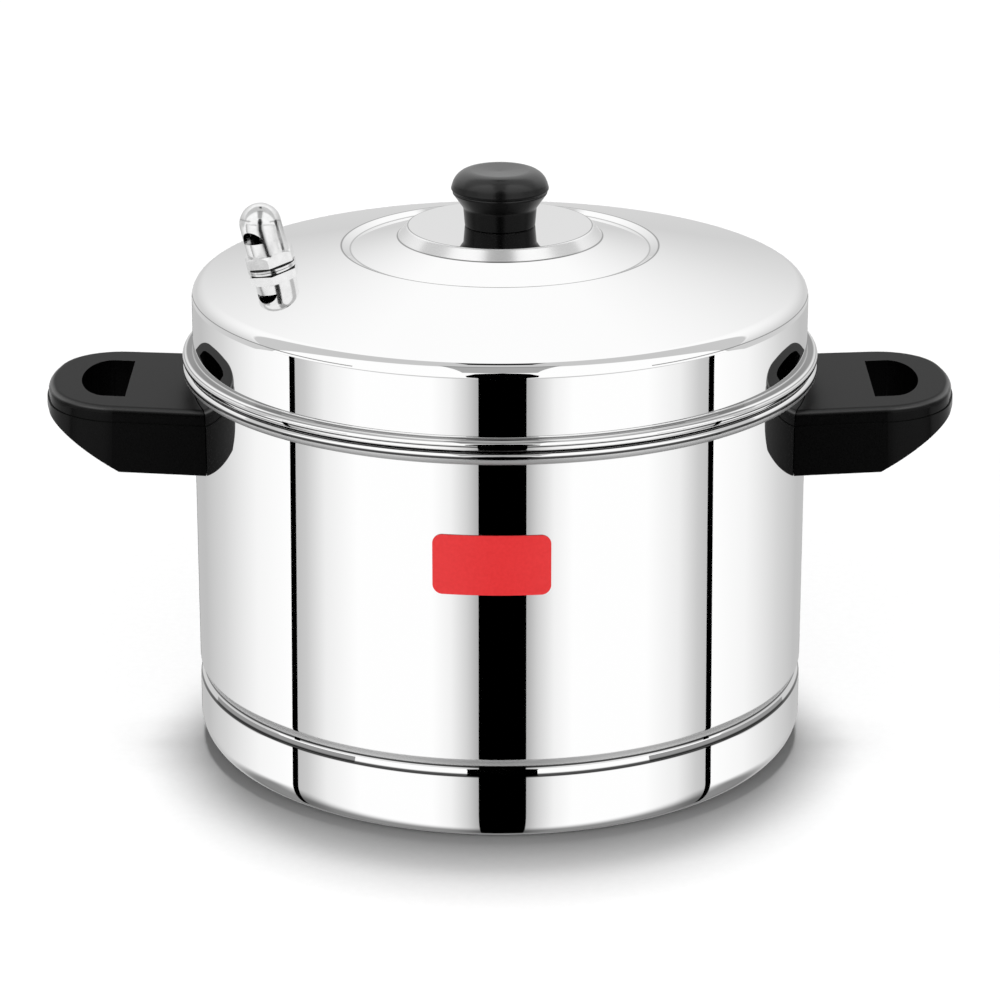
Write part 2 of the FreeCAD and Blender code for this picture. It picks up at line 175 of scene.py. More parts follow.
# Buffed stainless steel: a mirror with faint rings from the buffing wheel in its gloss, drawn coarser than
# the wheel leaves them, so that they show. The creases stay duller, and dark and grey lines of painted shade
# and painted reflection
# lie along them: each has a place in millimetres, by height at the groove and the beads and by radius on the
# lid, a tone, and how dull it stays
buffing_ring = 0.6 * millimetre
crease_margin = 0.2
groove_painted_shade = [(26.1, "FFFFFF", 0), (26.4, "404040", 0), (27.2, "505050", 0), (27.6, "FFFFFF", 0),
                  (29.3, "FFFFFF", 0), (29.6, "404040", 0), (30.15, "484848", 0), (30.4, "DEDEDE", 1),
                  (32.9, "DEDEDE", 1), (33.3, "FFFFFF", 0)]
bead_painted_shade = [(145.1, "FFFFFF", 0), (145.3, "C0C0C0", 1), (147.4, "D8D8D8", 1), (147.7, "D8D8D8", 0.6),
                (147.9, "4C4C4C", 0), (148.5, "4C4C4C", 0), (148.8, "FFFFFF", 0), (150.25, "FFFFFF", 0),
                (150.4, "303030", 0), (150.8, "303030", 0), (151.0, "FFFFFF", 0), (152.1, "FFFFFF", 0),
                (152.3, "484848", 0), (152.55, "484848", 0), (152.75, "FFFFFF", 0), (153.6, "FFFFFF", 0),
                (153.8, "8C8C8C", 0), (154.0, "FFFFFF", 0), (154.25, "FFFFFF", 0), (154.4, "7C7C7C", 0),
                (154.7, "FFFFFF", 0)]
lid_painted_shade = [(34.0, "FFFFFF", 0), (34.3, "808080", 0.2), (34.6, "FFFFFF", 0.4), (37.9, "FFFFFF", 0.4),
               (38.2, "646464", 0.2), (38.6, "FFFFFF", 0), (55.3, "FFFFFF", 0), (55.8, "B4B4B4", 0),
               (56.2, "FFFFFF", 0), (58.6, "FFFFFF", 0), (59.1, "6A6A6A", 0), (59.6, "FFFFFF", 0)]
crease_roughness = 0.5
mirror_steel, tree = new_material("buffed_stainless_steel")
place = add_node(tree, "ShaderNodeTexCoord").outputs["Object"]
spread = add_node(tree, "ShaderNodeVectorMath", {0: place, 1: (1, 1, 0)}, operation="MULTIPLY")
reach = add_node(tree, "ShaderNodeVectorMath", {0: spread.outputs[0]}, operation="LENGTH").outputs["Value"]
height = add_node(tree, "ShaderNodeSeparateXYZ", {0: place}).outputs["Z"]
rings = add_node(tree, "ShaderNodeCombineXYZ", {"X": reach, "Z": height})
buffing = add_node(tree, "ShaderNodeTexNoise", {
    "Vector": rings.outputs[0], "Scale": 1 / buffing_ring, "Detail": 3})
gloss = add_node(tree, "ShaderNodeMapRange", {
    "Value": buffing.outputs["Fac"], "To Min": 0.012, "To Max": 0.024}).outputs[0]
buffed = linear("F2F2F2")
# Each list's tones are painted shade and painted reflection, multiplied into the mirror's colour; its dull
# values roughen the creases
for along, creases in ((height, groove_painted_shade), (height, bead_painted_shade), (reach, lid_painted_shade)):
    first = creases[0][0] - crease_margin
    span = creases[-1][0] + crease_margin - first
    crossing = add_node(tree, "ShaderNodeMapRange", {
        "Value": along, "From Min": first * millimetre, "From Max": (first + span) * millimetre})
    shade_and_dullness = add_node(tree, "ShaderNodeValToRGB", {"Fac": crossing.outputs[0]},
                      [((at - first) / span, linear(tone)[:3] + [dull]) for at, tone, dull in creases])
    buffed = add_node(tree, "ShaderNodeMix", {"Factor": 1.0, 6: buffed, 7: shade_and_dullness.outputs["Color"]},
                      data_type="RGBA", blend_type="MULTIPLY").outputs[2]
    gloss = add_node(tree, "ShaderNodeMath", {0: shade_and_dullness.outputs["Alpha"], 1: crease_roughness, 2: gloss},
                     operation="MULTIPLY_ADD").outputs[0]
shine = add_node(tree, "ShaderNodeBsdfPrincipled", {
    "Base Color": buffed, "Metallic": 1.0, "Roughness": gloss})
add_node(tree, "ShaderNodeOutputMaterial", {"Surface": shine.outputs[0]})

# Satin stainless steel: the drawn sheet as it leaves the press, with fine rings that blur what it mirrors.
# They are drawn coarser than the press leaves them, so that they show
press_ring = 0.8 * millimetre
satin_steel, tree = new_material("satin_stainless_steel")
place = add_node(tree, "ShaderNodeTexCoord").outputs["Object"]
spread = add_node(tree, "ShaderNodeVectorMath", {0: place, 1: (1, 1, 0)}, operation="MULTIPLY")
reach = add_node(tree, "ShaderNodeVectorMath", {0: spread.outputs[0]}, operation="LENGTH")
apart = add_node(tree, "ShaderNodeSeparateXYZ", {0: place})
rings = add_node(tree, "ShaderNodeCombineXYZ", {"X": reach.outputs["Value"], "Z": apart.outputs["Z"]})
drawing = add_node(tree, "ShaderNodeTexNoise", {
    "Vector": rings.outputs[0], "Scale": 1 / press_ring, "Detail": 4})
gloss = add_node(tree, "ShaderNodeMapRange", {"Value": drawing.outputs["Fac"], "To Min": 0.2, "To Max": 0.38})
tone = add_node(tree, "ShaderNodeValToRGB", {"Fac": drawing.outputs["Fac"]},
                [(0.25, linear("C6C7C8")), (0.75, linear("DEDEDD"))])
furrow = add_node(tree, "ShaderNodeBump", {
    "Height": drawing.outputs["Fac"], "Strength": 0.12, "Distance": 0.02 * millimetre})
shine = add_node(tree, "ShaderNodeBsdfPrincipled", {
    "Base Color": tone.outputs["Color"], "Metallic": 1.0, "Roughness": gloss.outputs[0],
    "Normal": furrow.outputs[0]})
add_node(tree, "ShaderNodeOutputMaterial", {"Surface": shine.outputs[0]})

rim_top = pot_height - sheet
pot_path = bent_path([
    (0, 0, 0),
    (pot_radius, 0, base_bend),
    (pot_radius, groove_foot, groove_bend),
    (pot_radius - groove_depth, groove_valley, groove_bend),
    (pot_radius, groove_top, groove_bend),
    (pot_radius, rim_top, rim_bend),
    (pot_radius + 2 * rim_bend, rim_top, rim_bend),
    (pot_radius + 2 * rim_bend, rim_top - 2 * rim_bend, rim_bend),
    (pot_radius + rim_end_gap, rim_top - 2 * rim_bend, 0),
])
pot_outline = [(spot, facing, finish if spot.real < pot_radius else 0)
               for spot, facing, finish in sheet_outline(pot_path, sheet)]
pot = turned("pot", pot_outline, [mirror_steel, satin_steel])
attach(pot, "pot")
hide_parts("pot_body")

# Label: a small red vinyl plate with rounded corners, stuck to the front of the pot and left blank.
# Cast vinyl is evenly coloured, with a soft gloss and a faint orange-peel skin.
peel = 1.2 * millimetre
vinyl, tree = new_material("red_cast_vinyl")
place = add_node(tree, "ShaderNodeTexCoord").outputs["Object"]
skin = add_node(tree, "ShaderNodeTexNoise", {"Vector": place, "Scale": 1 / peel, "Detail": 2})
red = add_node(tree, "ShaderNodeValToRGB", {"Fac": skin.outputs["Fac"]},
               [(0.3, linear("E8191D")), (0.7, linear("EE2226"))])
gloss = add_node(tree, "ShaderNodeMapRange", {"Value": skin.outputs["Fac"], "To Min": 0.3, "To Max": 0.42})
dimple = add_node(tree, "ShaderNodeBump", {
    "Height": skin.outputs["Fac"], "Strength": 0.15, "Distance": 0.02 * millimetre})
film = add_node(tree, "ShaderNodeBsdfPrincipled", {
    "Base Color": red.outputs["Color"], "Roughness": gloss.outputs[0], "IOR": 1.5,
    "Normal": dimple.outputs[0]})
add_node(tree, "ShaderNodeOutputMaterial", {"Surface": film.outputs[0]})
nodes["front_label"].material_slots[0].material = vinyl

# Side handles: two solid mouldings in black phenolic resin, each screwed to a boss on the pot.
# The mould's top plate is blasted, which leaves a grain on what faces up, drawn coarse enough to show.
# The sides are smooth, and the edges shine most, as hands keep them: each shine is at how far up it faces.
grain = 0.55 * millimetre
edge_shine = [(0.0, 0.06), (0.55, 0.1), (0.72, 1.0), (0.86, 0.7), (0.97, 0.12)]
moulded_phenolic, tree = new_material("moulded_phenolic_resin")
place = add_node(tree, "ShaderNodeTexCoord").outputs["Object"]
speckle = add_node(tree, "ShaderNodeTexNoise", {
    "Vector": place, "Scale": 1 / grain, "Detail": 3, "Roughness": 0.6})
normal = add_node(tree, "ShaderNodeNewGeometry").outputs["Normal"]
facing = add_node(tree, "ShaderNodeSeparateXYZ", {0: normal})
upward = add_node(tree, "ShaderNodeMapRange", {
    "Value": facing.outputs["Z"], "From Min": 0.55, "From Max": 0.95})
black = add_node(tree, "ShaderNodeValToRGB", {"Fac": speckle.outputs["Fac"]},
                 [(0.3, linear("050505")), (0.75, linear("0C0C0C"))])
gloss = add_node(tree, "ShaderNodeMapRange", {"Value": upward.outputs[0], "To Min": 0.16, "To Max": 0.5})
worn = add_node(tree, "ShaderNodeValToRGB", {"Fac": facing.outputs["Z"]},
                [(upness, [shine_at] * 3 + [1]) for upness, shine_at in edge_shine])
pits = add_node(tree, "ShaderNodeBump", {
    "Height": speckle.outputs["Fac"], "Strength": upward.outputs[0], "Distance": 0.03 * millimetre})
resin = add_node(tree, "ShaderNodeBsdfPrincipled", {
    "Base Color": black.outputs["Color"], "Roughness": gloss.outputs[0], "IOR": 1.55,
    "Specular IOR Level": worn.outputs["Color"], "Normal": pits.outputs[0]})
add_node(tree, "ShaderNodeOutputMaterial", {"Surface": resin.outputs[0]})
for side in ("right", "left"):
    nodes[side + "_handle"].material_slots[0].material = moulded_phenolic
    nodes[side + "_handle"].visible_shadow = False

# Handle fixings: a steel boss spot-welded to the pot, a slotted screw and a washer for each handle.
# They are zinc-plated, so a little blue and cloudy beside the stainless steel.
zinc_spangle = 1.5 * millimetre
zinc_plate, tree = new_material("zinc_plated_steel")
place = add_node(tree, "ShaderNodeTexCoord").outputs["Object"]
spangle = add_node(tree, "ShaderNodeTexNoise", {"Vector": place, "Scale": 1 / zinc_spangle, "Detail": 3})
tone = add_node(tree, "ShaderNodeValToRGB", {"Fac": spangle.outputs["Fac"]},
                [(0.3, linear("AEB2B8")), (0.7, linear("CBCED2"))])
gloss = add_node(tree, "ShaderNodeMapRange", {"Value": spangle.outputs["Fac"], "To Min": 0.22, "To Max": 0.4})
plating = add_node(tree, "ShaderNodeBsdfPrincipled", {
    "Base Color": tone.outputs["Color"], "Metallic": 1.0, "Roughness": gloss.outputs[0]})
add_node(tree, "ShaderNodeOutputMaterial", {"Surface": plating.outputs[0]})
for side in ("right", "left"):
    for piece in ("_handle_boss", "_handle_screw", "_handle_washer"):
        nodes[side + piece].material_slots[0].material = zinc_plate

# Rack: a pressed foot, a rod, spacer tubes, four idli plates and a winged nut, threaded on one another.
# All are the same satin stainless steel as the inside of the pot.
rack_nodes = ["rack_foot", "rack_rod", "lifting_nut"]
for number in range(1, 5):
    rack_nodes += ["plate_spacer_" + str(number), "idli_plate_" + str(number)]
for name in rack_nodes:
    nodes[name].material_slots[0].material = satin_steel

# Lid: one shell of the same sheet, with a lip inside the rim, a bead on it, a skirt and a shallow cone.
# The middle has a pressed ring and a raised disc for the knob. Outside it is buffed like the pot.
lip_radius = 113.5
lip_foot = 142.3
lip_bend = 1.0
bead_foot = 150.3
bead_top = 154.4
bead_reach = 119.0
bead_nose = 2.05
bead_bend = 0.6
shoulder_height = 179.5
shoulder_bend = 6.0
cone_rise = math.tan(math.radians(13.7))
ring_radius = 59.0
ring_foot = 55.8
ring_drop = 1.45
ring_bend = 1.2
inner_rise = math.tan(math.radians(15.2))
disc_foot = 38.2
disc_edge = 34.7
disc_rise = 4.0
disc_bend = 1.5
screw_hole = 2.9
ring_height = shoulder_height + (pot_radius - ring_radius) * cone_rise
disc_foot_height = ring_height - ring_drop + (ring_foot - disc_foot) * inner_rise
disc_height = disc_foot_height + disc_rise
lid_path = bent_path([
    (lip_radius, lip_foot, 0),
    (lip_radius, bead_foot, lip_bend),
    (bead_reach, bead_foot, bead_nose),
    (bead_reach, bead_top, bead_nose),
    (pot_radius, bead_top, bead_bend),
    (pot_radius, shoulder_height, shoulder_bend),
    (ring_radius, ring_height, ring_bend),
    (ring_foot, ring_height - ring_drop, ring_bend),
    (disc_foot, disc_foot_height, disc_bend),
    (disc_edge, disc_height, disc_bend),
    (screw_hole, disc_height, 0),
])
lid = turned("lid", sheet_outline(lid_path, sheet), [mirror_steel, satin_steel])
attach(lid, "lid")
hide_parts("lid_shell")

# Knob: one black phenolic moulding with a necked foot, a line where the mould's halves met and a dished top.
# A brass insert in its foot takes the screw that comes up through the disc.
# The polished mould leaves it glossy, with a faint grain that is drawn coarse enough to show.
knob_foot = 13.1
knob_neck = 13.7
knob_neck_height = 6.9
knob_neck_bend = 2.5
knob_flare = 17.8
knob_flare_height = 12.7
knob_line = 17.3
knob_line_height = 13.2
knob_line_bend = 0.2
knob_waist = 18.3
knob_waist_height = 13.8
knob_shoulder = 16.2
knob_shoulder_bend = 7.15
knob_height = 21.0
knob_dish = 10.6
knob_dish_height = 20.3
knob_corner = 0.6
knob_edge = 0.8
knob_grain = 0.55 * millimetre
phenolic, tree = new_material("glossy_phenolic_resin")
place = add_node(tree, "ShaderNodeTexCoord").outputs["Object"]
speckle = add_node(tree, "ShaderNodeTexNoise", {
    "Vector": place, "Scale": 1 / knob_grain, "Detail": 3, "Roughness": 0.6})
black = add_node(tree, "ShaderNodeValToRGB", {"Fac": speckle.outputs["Fac"]},
                 [(0.3, linear("060606")), (0.75, linear("0E0E0E"))])
gloss = add_node(tree, "ShaderNodeMapRange", {
    "Value": speckle.outputs["Fac"], "To Min": 0.18, "To Max": 0.28})
normal = add_node(tree, "ShaderNodeNewGeometry").outputs["Normal"]
facing = add_node(tree, "ShaderNodeSeparateXYZ", {0: normal})
handled = add_node(tree, "ShaderNodeMapRange", {
    "Value": facing.outputs["Z"], "From Min": 0.1, "From Max": 0.7, "To Min": 0.1, "To Max": 0.62})
pits = add_node(tree, "ShaderNodeBump", {
    "Height": speckle.outputs["Fac"], "Strength": 0.3, "Distance": 0.05 * millimetre})
resin = add_node(tree, "ShaderNodeBsdfPrincipled", {
    "Base Color": black.outputs["Color"], "Roughness": gloss.outputs[0], "IOR": 1.55,
    "Specular IOR Level": handled.outputs[0], "Normal": pits.outputs[0]})
add_node(tree, "ShaderNodeOutputMaterial", {"Surface": resin.outputs[0]})
knob_path = bent_path([
    (0, 0, 0),
    (knob_foot, 0, knob_corner),
    (knob_neck, knob_neck_height, knob_neck_bend),
    (knob_flare, knob_flare_height, knob_corner),
    (knob_line, knob_line_height, knob_line_bend),
    (knob_waist, knob_waist_height, knob_edge),
    (knob_shoulder, knob_height, knob_shoulder_bend),
    (knob_dish, knob_height, knob_edge),
    (0, knob_dish_height, 0),
])
knob_outline = [(spot + disc_height * 1j, heading * -1j, 0) for spot, heading in knob_path]
knob = turned("knob", knob_outline, [phenolic])
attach(knob, "lid")
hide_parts("lid_knob")

# Turned brass: plain yellow, with the cloudy gloss that fine lathe lines leave
turning = 0.3 * millimetre
brass, tree = new_material("turned_brass")
place = add_node(tree, "ShaderNodeTexCoord").outputs["Object"]
lathe_lines = add_node(tree, "ShaderNodeTexNoise", {"Vector": place, "Scale": 1 / turning, "Detail": 2})
tone = add_node(tree, "ShaderNodeValToRGB", {"Fac": lathe_lines.outputs["Fac"]},
                [(0.3, linear("B8923F")), (0.7, linear("D2AE5A"))])
gloss = add_node(tree, "ShaderNodeMapRange", {
    "Value": lathe_lines.outputs["Fac"], "To Min": 0.2, "To Max": 0.35})
metal = add_node(tree, "ShaderNodeBsdfPrincipled", {
    "Base Color": tone.outputs["Color"], "Metallic": 1.0, "Roughness": gloss.outputs[0]})
add_node(tree, "ShaderNodeOutputMaterial", {"Surface": metal.outputs[0]})
nodes["knob_insert"].material_slots[0].material = brass
for name in ("knob_screw", "knob_washer"):
    nodes[name].material_slots[0].material = zinc_plate

# Steam whistle: a domed cap on a hexagonal base, screwed through the lid onto a washer and a thin gasket.
# The brass is bright nickel-plated: it mirrors a little softer than the lid, with a slow flow in its gloss.
# Its bore is painted near black: painted shade where the windows show into it.
plating_flow = 2.5 * millimetre
bore_reach = 5.4 * millimetre
bore_top = 21.9 * millimetre
whistle_foot = (-0.08465, -0.0077, 0.18681)
whistle_axis = (-0.2358, -0.0215, 0.9716)
nickel, tree = new_material("bright_nickel_plate")
place = add_node(tree, "ShaderNodeTexCoord").outputs["Object"]
flow = add_node(tree, "ShaderNodeTexNoise", {"Vector": place, "Scale": 1 / plating_flow, "Detail": 2})
bright = add_node(tree, "ShaderNodeValToRGB", {"Fac": flow.outputs["Fac"]},
                  [(0.3, linear("E6E6E6")), (0.7, linear("F0F0F0"))])
from_foot = add_node(tree, "ShaderNodeVectorMath", {0: place, 1: whistle_foot}, operation="SUBTRACT")
across = add_node(tree, "ShaderNodeVectorMath", {0: from_foot.outputs[0], 1: whistle_axis},
                  operation="CROSS_PRODUCT")
off_axis = add_node(tree, "ShaderNodeVectorMath", {0: across.outputs[0]}, operation="LENGTH")
up_axis = add_node(tree, "ShaderNodeVectorMath", {0: from_foot.outputs[0], 1: whistle_axis},
                   operation="DOT_PRODUCT")
near_axis = add_node(tree, "ShaderNodeMath", {0: off_axis.outputs["Value"], 1: bore_reach},
                     operation="LESS_THAN")
below_dome = add_node(tree, "ShaderNodeMath", {0: up_axis.outputs["Value"], 1: bore_top},
                      operation="LESS_THAN")
inside = add_node(tree, "ShaderNodeMath", {0: near_axis.outputs[0], 1: below_dome.outputs[0]},
                  operation="MULTIPLY")
# The bore's near black is painted shade
tone = add_node(tree, "ShaderNodeMix", {"Factor": inside.outputs[0], 6: bright.outputs["Color"],
                                        7: linear("080808")}, data_type="RGBA")
gloss = add_node(tree, "ShaderNodeMapRange", {"Value": flow.outputs["Fac"], "To Min": 0.12, "To Max": 0.2})
plating = add_node(tree, "ShaderNodeBsdfPrincipled", {
    "Base Color": tone.outputs[2], "Metallic": 1.0, "Roughness": gloss.outputs[0]})
add_node(tree, "ShaderNodeOutputMaterial", {"Surface": plating.outputs[0]})
for name in ("vent_cap", "vent_base", "vent_flange", "vent_locknut"):
    nodes[name].material_slots[0].material = nickel
nodes["vent_washer"].material_slots[0].material = zinc_plate

# Nitrile rubber: a matt black moulding with a faint dusty bloom
bloom = 0.9 * millimetre
rubber, tree = new_material("black_nitrile_rubber")
place = add_node(tree, "ShaderNodeTexCoord").outputs["Object"]
dust = add_node(tree, "ShaderNodeTexNoise", {"Vector": place, "Scale": 1 / bloom, "Detail": 3})
tone = add_node(tree, "ShaderNodeValToRGB", {"Fac": dust.outputs["Fac"]},
                [(0.3, linear("151515")), (0.75, linear("242424"))])
body = add_node(tree, "ShaderNodeBsdfPrincipled", {
    "Base Color": tone.outputs["Color"], "Roughness": 0.75, "IOR": 1.52})
add_node(tree, "ShaderNodeOutputMaterial", {"Surface": body.outputs[0]})
nodes["vent_gasket"].material_slots[0].material = rubber

# Studio: a white floor, one broad lamp overhead, and a ring of white panels with dark gaps between them.
# Metal mirrors the panels; the floor and everything else get plain soft light.
scene = bpy.context.scene
scene.view_settings.view_transform = "Standard"
floor_half = 4.0
floor_mesh = bpy.data.meshes.new("floor")
floor_mesh.from_pydata([(-floor_half, -floor_half, 0), (floor_half, -floor_half, 0),
                        (floor_half, floor_half, 0), (-floor_half, floor_half, 0)], [], [(0, 1, 2, 3)])
floor = bpy.data.objects.new("floor", floor_mesh)
scene.collection.objects.link(floor)
floor.visible_glossy = False

# White painted board: an even matt white with a trace of the paint roller
roller_mark = 3 * millimetre
white_board, tree = new_material("white_painted_board")
place = add_node(tree, "ShaderNodeTexCoord").outputs["Object"]
roller = add_node(tree, "ShaderNodeTexNoise", {"Vector": place, "Scale": 1 / roller_mark, "Detail": 2})
tone = add_node(tree, "ShaderNodeValToRGB", {"Fac": roller.outputs["Fac"]},
                [(0.3, linear("F6F6F6")), (0.7, linear("F8F8F8"))])
paint = add_node(tree, "ShaderNodeBsdfPrincipled", {
    "Base Color": tone.outputs["Color"], "Roughness": 0.9, "Specular IOR Level": 0.0})
add_node(tree, "ShaderNodeOutputMaterial", {"Surface": paint.outputs[0]})
floor_mesh.materials.append(white_board)

# One broad lamp overhead, from above the pot to behind it, as two that share its light
lamp_spread = math.radians(15)
lamp_energy = 1.42
for tilt in (math.radians(4), math.radians(13)):
    lamp = bpy.data.lights.new("overhead_lamp", "SUN")
    lamp.angle = lamp_spread
    lamp.energy = lamp_energy
    overhead = bpy.data.objects.new("overhead_lamp", lamp)
    overhead.rotation_euler = (-tilt, 0, 0)
    overhead.visible_glossy = False
    scene.collection.objects.link(overhead)

# The panels lean back, so that from a little above the pot their edges run straight down its wall, and they
# stand turned a little to the right. Each angle over the pot is kept as a share of a half or a whole turn
lean_angle = math.radians(19)
ring_turn = math.radians(0.9)
world = bpy.data.worlds.new("panel_ring")
scene.world = world
world.use_nodes = True
tree = world.node_tree
tree.nodes.clear()
facing = add_node(tree, "ShaderNodeTexCoord").outputs["Generated"]
apart = add_node(tree, "ShaderNodeSeparateXYZ", {0: facing})
ahead = add_node(tree, "ShaderNodeMath", {0: apart.outputs["Y"], 1: -1.0}, operation="MULTIPLY")
bearing = add_node(tree, "ShaderNodeMath", {0: apart.outputs["X"], 1: ahead.outputs[0]}, operation="ARCTAN2")
lean = add_node(tree, "ShaderNodeMath", {0: ahead.outputs[0], 1: math.cos(lean_angle)}, operation="ADD")
half = add_node(tree, "ShaderNodeMath", {0: apart.outputs["X"], 1: lean.outputs[0]}, operation="ARCTAN2")
leaned = add_node(tree, "ShaderNodeMath", {0: half.outputs[0], 1: 2.0}, operation="MULTIPLY")
behind = add_node(tree, "ShaderNodeMapRange", {"Value": apart.outputs["Y"], "From Min": 0.6, "From Max": 0.9})
swung = add_node(tree, "ShaderNodeMix", {
    "Factor": behind.outputs[0], 2: leaned.outputs[0], 3: bearing.outputs[0]})
from_middle = add_node(tree, "ShaderNodeMath", {0: swung.outputs[0], 1: ring_turn}, operation="SUBTRACT")
aside = add_node(tree, "ShaderNodeMath", {0: from_middle.outputs[0]}, operation="ABSOLUTE")
degrees = add_node(tree, "ShaderNodeMath", {0: aside.outputs[0], 1: 180 / math.pi}, operation="MULTIPLY")
share = add_node(tree, "ShaderNodeMath", {0: degrees.outputs[0], 1: 180.0}, operation="DIVIDE")
over = add_node(tree, "ShaderNodeMath", {0: apart.outputs["Z"], 1: ahead.outputs[0]}, operation="ARCTAN2")
over_share = add_node(tree, "ShaderNodeMath", {0: over.outputs[0], 1: math.pi}, operation="DIVIDE")
over_turn = add_node(tree, "ShaderNodeMath", {0: over_share.outputs[0], 1: 0.5, 2: 0.5},
                     operation="MULTIPLY_ADD")
over_back = add_node(tree, "ShaderNodeMath", {0: over.outputs[0]}, operation="ABSOLUTE")
level = add_node(tree, "ShaderNodeMath", {0: apart.outputs["Z"], 1: 0.5, 2: 0.5}, operation="MULTIPLY_ADD")

# Panels by their bearing from the front, in degrees: a white wing, a slit, and a grey back
slit_bearing = 84.0
slit_half_width = 1.4
wing = [(8.6, "AAAAAA"), (13, "D2D2D2"), (19, "F2F2F2"), (26, "FFFFFF"), (55, "FFFFFF"), (69, "EEEEEE"),
        (78, "CACACA"), (83, "BEBEBE"), (85, "FFFFFF"), (104, "F6F6F6"), (128, "D4D4D4"), (150, "BCBCBC"),
        (171.4, "B8B8B8"), (171.8, "000000")]
lit_panels = add_node(tree, "ShaderNodeValToRGB", {"Fac": share.outputs[0]},
                      [(bearing_at / 180, linear(tone_at)) for bearing_at, tone_at in wing])
in_slit = add_node(tree, "ShaderNodeMath", {0: degrees.outputs[0], 1: slit_bearing, 2: slit_half_width},
                   operation="COMPARE")
panels = add_node(tree, "ShaderNodeMix", {
    "Factor": in_slit.outputs[0], 6: lit_panels.outputs["Color"], 7: linear("000000")}, data_type="RGBA")

# Above the panels a long sheet hangs from left to right. Its edges are at angles over the pot, in degrees
# from the front horizon (0) by straight up (90) to the back (180). A clear stop (0) shows the panels
overhead_sheet = [(0, "FFFFFF", 0), (2, "FFFFFF", 0), (3.5, "C4C4C4", 1), (9, "C4C4C4", 1), (11, "FFFFFF", 1),
                  (84, "FFFFFF", 1), (86, "C8C8C8", 1), (124, "C8C8C8", 1), (127, "FFFFFF", 1)]
sheet_sky = add_node(tree, "ShaderNodeValToRGB", {"Fac": over_share.outputs[0]}, [
    (over_at / 180, linear(tone_at)[:3] + [cover]) for over_at, tone_at, cover in overhead_sheet])

# Behind it the room's back wall, lighter with its height above the horizon, in degrees
back_wall = [(-90, "CCCCCC", 0), (-16, "CCCCCC", 0), (-14, "CCCCCC", 1), (2, "CCCCCC", 1), (12, "D9D9D9", 1),
             (26, "ECECEC", 1), (40, "FCFCFC", 1), (60, "FFFFFF", 1), (90, "FFFFFF", 1)]
back_sky = add_node(tree, "ShaderNodeValToRGB", {"Fac": level.outputs[0]}, [
    ((math.sin(math.radians(lift_at)) + 1) / 2, linear(tone_at)[:3] + [cover])
    for lift_at, tone_at, cover in back_wall])
near_back = add_node(tree, "ShaderNodeMapRange", {
    "Value": over_back.outputs[0], "From Min": math.radians(124), "From Max": math.radians(128)})
sky_tone = add_node(tree, "ShaderNodeMix", {
    "Factor": near_back.outputs[0], 6: sheet_sky.outputs["Color"], 7: back_sky.outputs["Color"]},
    data_type="RGBA")
sky_cover = add_node(tree, "ShaderNodeMix", {
    "Factor": near_back.outputs[0], 2: sheet_sky.outputs["Alpha"], 3: back_sky.outputs["Alpha"]})
ringed = add_node(tree, "ShaderNodeMix", {
    "Factor": sky_cover.outputs[0], 6: panels.outputs[2], 7: sky_tone.outputs[2]}, data_type="RGBA")

# The dark gap ahead: how many degrees it reaches to each side, by the angle over the pot
gap = [(-180, 8.6), (10, 8.8), (14, 13), (24, 13.5), (38, 10), (43, 5), (44, 0), (180, 0)]
gap_reach = add_node(tree, "ShaderNodeValToRGB", {"Fac": over_turn.outputs[0]}, [
    (over_at / 360 + 0.5, [reach_at / 100] * 3 + [1]) for over_at, reach_at in gap])
hundredth = add_node(tree, "ShaderNodeMath", {0: degrees.outputs[0], 1: 100.0}, operation="DIVIDE")
past_gap = add_node(tree, "ShaderNodeMath", {0: hundredth.outputs[0], 1: gap_reach.outputs["Color"]},
                    operation="GREATER_THAN")

# The stand in the middle of the sheet, with its reach to each side, and the slot behind it
stand = [(0, "FFFFFF", 0.2), (44, "FFFFFF", 0.2), (46, "A6A6A6", 0.2), (89, "A6A6A6", 0.2),
         (91, "FFFFFF", 0.2), (104, "FFFFFF", 0.075), (106, "FFFFFF", 0.075), (107.5, "000000", 0.075),
         (121, "000000", 0.075), (122.5, "FFFFFF", 0.075)]
stand_tone = add_node(tree, "ShaderNodeValToRGB", {"Fac": over_share.outputs[0]}, [
    (over_at / 180, linear(tone_at)[:3] + [reach_at]) for over_at, tone_at, reach_at in stand])
sideways = add_node(tree, "ShaderNodeMath", {0: apart.outputs["X"]}, operation="ABSOLUTE")
on_stand = add_node(tree, "ShaderNodeMath", {0: sideways.outputs[0], 1: stand_tone.outputs["Alpha"]},
                    operation="LESS_THAN")
mirrored = add_node(tree, "ShaderNodeMix", {
    "Factor": on_stand.outputs[0], 6: ringed.outputs[2], 7: stand_tone.outputs["Color"]},
    data_type="RGBA", blend_type="MULTIPLY")

# To each side a grey bar runs in a long arc past the sheet, which the groove's lower flank mirrors
bar_start = 57.0
bar_height = 0.357
bar_half_width = 0.024
leaning_back = (0, math.cos(lean_angle), -math.sin(lean_angle))
from_bar = add_node(tree, "ShaderNodeVectorMath", {0: facing, 1: leaning_back}, operation="SUBTRACT")
bar_line = add_node(tree, "ShaderNodeVectorMath", {0: from_bar.outputs[0]}, operation="NORMALIZE")
along_bar = add_node(tree, "ShaderNodeSeparateXYZ", {0: bar_line.outputs[0]})
bar_level = add_node(tree, "ShaderNodeMath", {0: along_bar.outputs["Z"], 1: bar_height, 2: bar_half_width},
                     operation="COMPARE")
past_sheet = add_node(tree, "ShaderNodeMath", {0: degrees.outputs[0], 1: bar_start}, operation="GREATER_THAN")
on_bar = add_node(tree, "ShaderNodeMath", {0: bar_level.outputs[0], 1: past_sheet.outputs[0]},
                  operation="MULTIPLY")
barred = add_node(tree, "ShaderNodeMix", {
    "Factor": on_bar.outputs[0], 6: mirrored.outputs[2], 7: linear("929292")}, data_type="RGBA")

